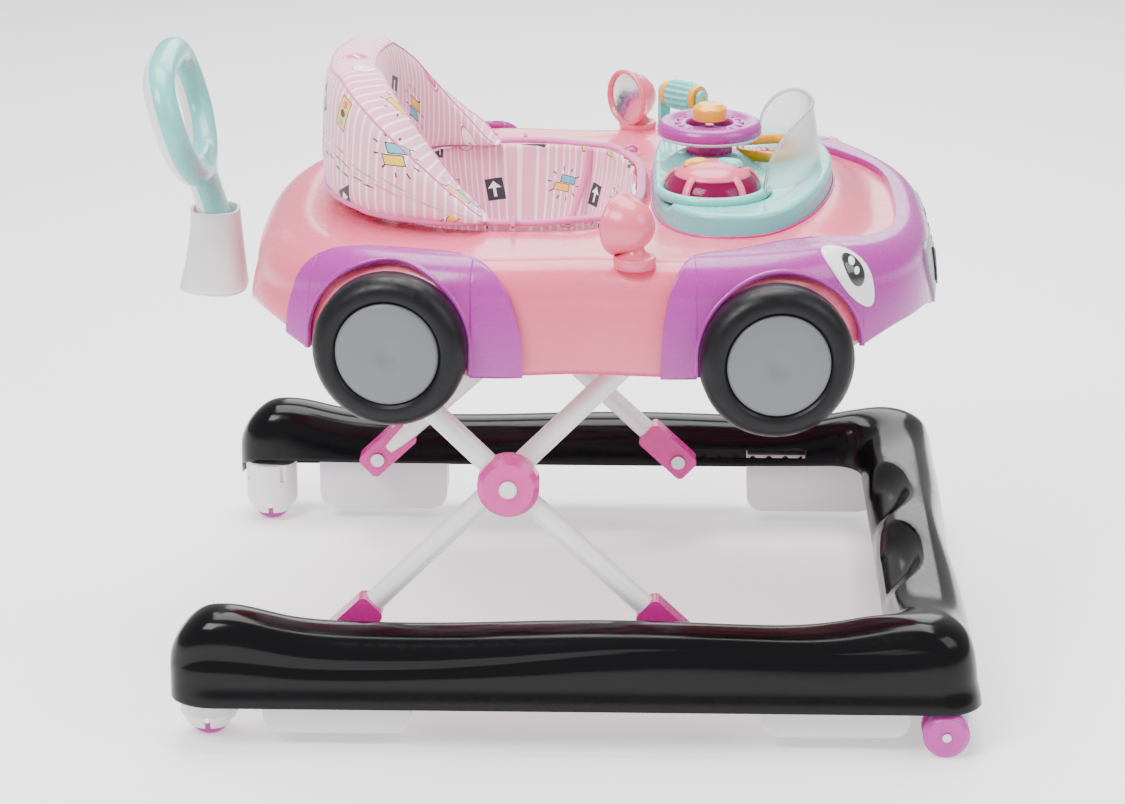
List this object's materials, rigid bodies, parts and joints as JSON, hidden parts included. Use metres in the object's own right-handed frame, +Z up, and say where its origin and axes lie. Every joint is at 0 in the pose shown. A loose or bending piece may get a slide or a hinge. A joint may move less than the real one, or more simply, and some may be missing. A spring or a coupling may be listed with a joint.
{
  "type": "baby walker",
  "caption": "Toy-car baby walker: U-shaped wheeled base, scissor legs, padded sling seat, car-shaped tray with steering wheel and toys, and a push handle.",
  "frame": {"origin": "on the floor under the middle of the whole walker, push handle included", "axes": "+X forward, +Y to the child's left, +Z up"},
  "size_m": [0.7734, 0.662, 0.5777],
  "materials": {
    "base_black": "glossy moulded black",
    "white_plastic": "satin white",
    "chrome": "plated pin",
    "rubber_grey": "soft grip rubber",
    "steel": "zinc-plated steel",
    "wheel_magenta": "moulded wheel",
    "tube_white": "white powder coat",
    "bracket_magenta": "glossy magenta",
    "body_pink": "glossy pale pink",
    "fender_purple": "glossy purple",
    "grille_grey": "satin grey",
    "eye_white": "gloss white",
    "pupil_black": "gloss black",
    "tyre_black": "satin black",
    "cap_grey": "satin grey",
    "mirror_silver": "silvered",
    "inner_grey": "satin",
    "trim_pink": "woven binding over a ring",
    "fabric_pink": "striped and printed polyester",
    "mint_plastic": "glossy mint",
    "frosted_clear": "frosted clear plastic",
    "magenta_plastic": "gloss magenta",
    "yellow_plastic": "gloss yellow",
    "pod_window": "tinted window",
    "card_pink": "striped card",
    "red_plastic": "gloss red"
  },
  "bodies": {
    "base": {"base_frame": "base_black", "rear_wheel_hoods": "white_plastic", "rear_axles": "chrome", "grip_blocks": "white_plastic", "grip_pads": "rubber_grey", "caster_sockets": "white_plastic", "pivot_bolts": "steel"},
    "rear_wheel_right": {"rear_wheel_right": "wheel_magenta"},
    "rear_wheel_left": {"rear_wheel_left": "wheel_magenta"},
    "caster_right": {"caster_fork_right": "white_plastic", "caster_pin_right": "steel"},
    "caster_left": {"caster_fork_left": "white_plastic", "caster_pin_left": "steel"},
    "caster_wheels_right": {"caster_wheels_right": "wheel_magenta"},
    "caster_wheels_left": {"caster_wheels_left": "wheel_magenta"},
    "inner_leg": {"inner_leg_tube": "tube_white", "inner_leg_brackets": "bracket_magenta"},
    "outer_leg": {"outer_leg_tube": "tube_white", "outer_leg_brackets": "bracket_magenta", "slide_pins": "steel", "hub_cover_right": "bracket_magenta", "hub_cover_left": "bracket_magenta", "hub_pins": "white_plastic"},
    "steering": {"steering_wheel": "fender_purple"},
    "horn": {"horn_button": "yellow_plastic"},
    "pod_button_rear": {"pod_button_rear": "yellow_plastic"},
    "pod_button_front": {"pod_button_front": "mint_plastic"},
    "pointer": {"gauge_pointer": "red_plastic"},
    "roller": {"roller_barrel": "mint_plastic", "roller_caps": "yellow_plastic"},
    "tray": {"body_shell": "body_pink", "mirror_shells": "body_pink", "button_pod": "body_pink", "rear_fender_right": "fender_purple", "rear_fender_left": "fender_purple", "front_fascia": "fender_purple", "grille": "grille_grey", "headlamps": "eye_white", "headlamp_pupils": "pupil_black", "front_tyres": "tyre_black", "rear_tyres": "tyre_black", "hub_caps": "cap_grey", "mirror_lenses": "mirror_silver", "leg_pivot_clamps": "inner_grey", "leg_slide_tracks": "inner_grey", "battery_box": "inner_grey", "battery_cover": "inner_grey", "seat_ring": "trim_pink", "seat_sling": "fabric_pink", "seat_back_pad": "fabric_pink", "dashboard": "mint_plastic", "handle_front_shell": "mint_plastic", "windscreen": "frosted_clear", "handle_socket": "frosted_clear", "steering_column": "magenta_plastic", "gauge_bezel": "yellow_plastic", "roller_bracket": "yellow_plastic", "pod_window": "pod_window", "gauge_card": "card_pink", "handle_rear_shell": "white_plastic"}
  },
  "joints": [
    {"name": "height_fold", "type": "hinge", "parent": "base", "child": "inner_leg", "pos_m": [-0.19529, 0, 0.08], "axis": [0, 1, 0], "range_deg": [0, 25]},
    {"name": "scissor_hub", "type": "hinge", "parent": "inner_leg", "child": "outer_leg", "pos_m": [-0.03979, 0, 0.228], "axis": [0, 1, 0], "range_deg": [-50, 0]},
    {"name": "tray_level", "type": "hinge", "parent": "outer_leg", "child": "tray", "pos_m": [-0.19529, 0, 0.376], "axis": [0, 1, 0], "range_deg": [0, 25]},
    {"name": "rear_wheel_right_spin", "type": "hinge", "parent": "base", "child": "rear_wheel_right", "pos_m": [-0.31029, -0.281, 0.02], "axis": [0, 1, 0], "continuous": true},
    {"name": "caster_right_swivel", "type": "hinge", "parent": "base", "child": "caster_right", "pos_m": [0.36471, -0.312, 0.07], "axis": [0, 0, 1], "continuous": true},
    {"name": "caster_wheels_right_spin", "type": "hinge", "parent": "caster_right", "child": "caster_wheels_right", "pos_m": [0.35271, -0.312, 0.021], "axis": [0, 1, 0], "continuous": true},
    {"name": "rear_wheel_left_spin", "type": "hinge", "parent": "base", "child": "rear_wheel_left", "pos_m": [-0.31029, 0.281, 0.02], "axis": [0, 1, 0], "continuous": true},
    {"name": "caster_left_swivel", "type": "hinge", "parent": "base", "child": "caster_left", "pos_m": [0.36471, 0.312, 0.07], "axis": [0, 0, 1], "continuous": true},
    {"name": "caster_wheels_left_spin", "type": "hinge", "parent": "caster_left", "child": "caster_wheels_left", "pos_m": [0.35271, 0.312, 0.021], "axis": [0, 1, 0], "continuous": true},
    {"name": "steering_turn", "type": "hinge", "parent": "tray", "child": "steering", "pos_m": [0.13971, 0, 0.492], "axis": [0, 0, 1], "range_deg": [-90, 90]},
    {"name": "horn_press", "type": "slide", "parent": "steering", "child": "horn", "axis": [0, 0, -1], "range_m": [0, 0.003], "stiffness_N_per_m": 400},
    {"name": "pod_rear_press", "type": "slide", "parent": "tray", "child": "pod_button_rear", "axis": [0, 0, -1], "range_m": [0, 0.002], "stiffness_N_per_m": 250},
    {"name": "pod_front_press", "type": "slide", "parent": "tray", "child": "pod_button_front", "axis": [0, 0, -1], "range_m": [0, 0.002], "stiffness_N_per_m": 250},
    {"name": "pointer_swing", "type": "hinge", "parent": "tray", "child": "pointer", "pos_m": [0.19571, 0.04, 0.461], "axis": [0, 0, 1], "range_deg": [-40, 40]},
    {"name": "roller_spin", "type": "hinge", "parent": "tray", "child": "roller", "pos_m": [0.11571, 0.113, 0.498], "axis": [-0.766, 0.6428, 0], "continuous": true}
  ],
  "couplings": [
    {"joint": "scissor_hub", "follows": "height_fold", "ratio": -2},
    {"joint": "tray_level", "follows": "height_fold", "ratio": 1}
  ]
}
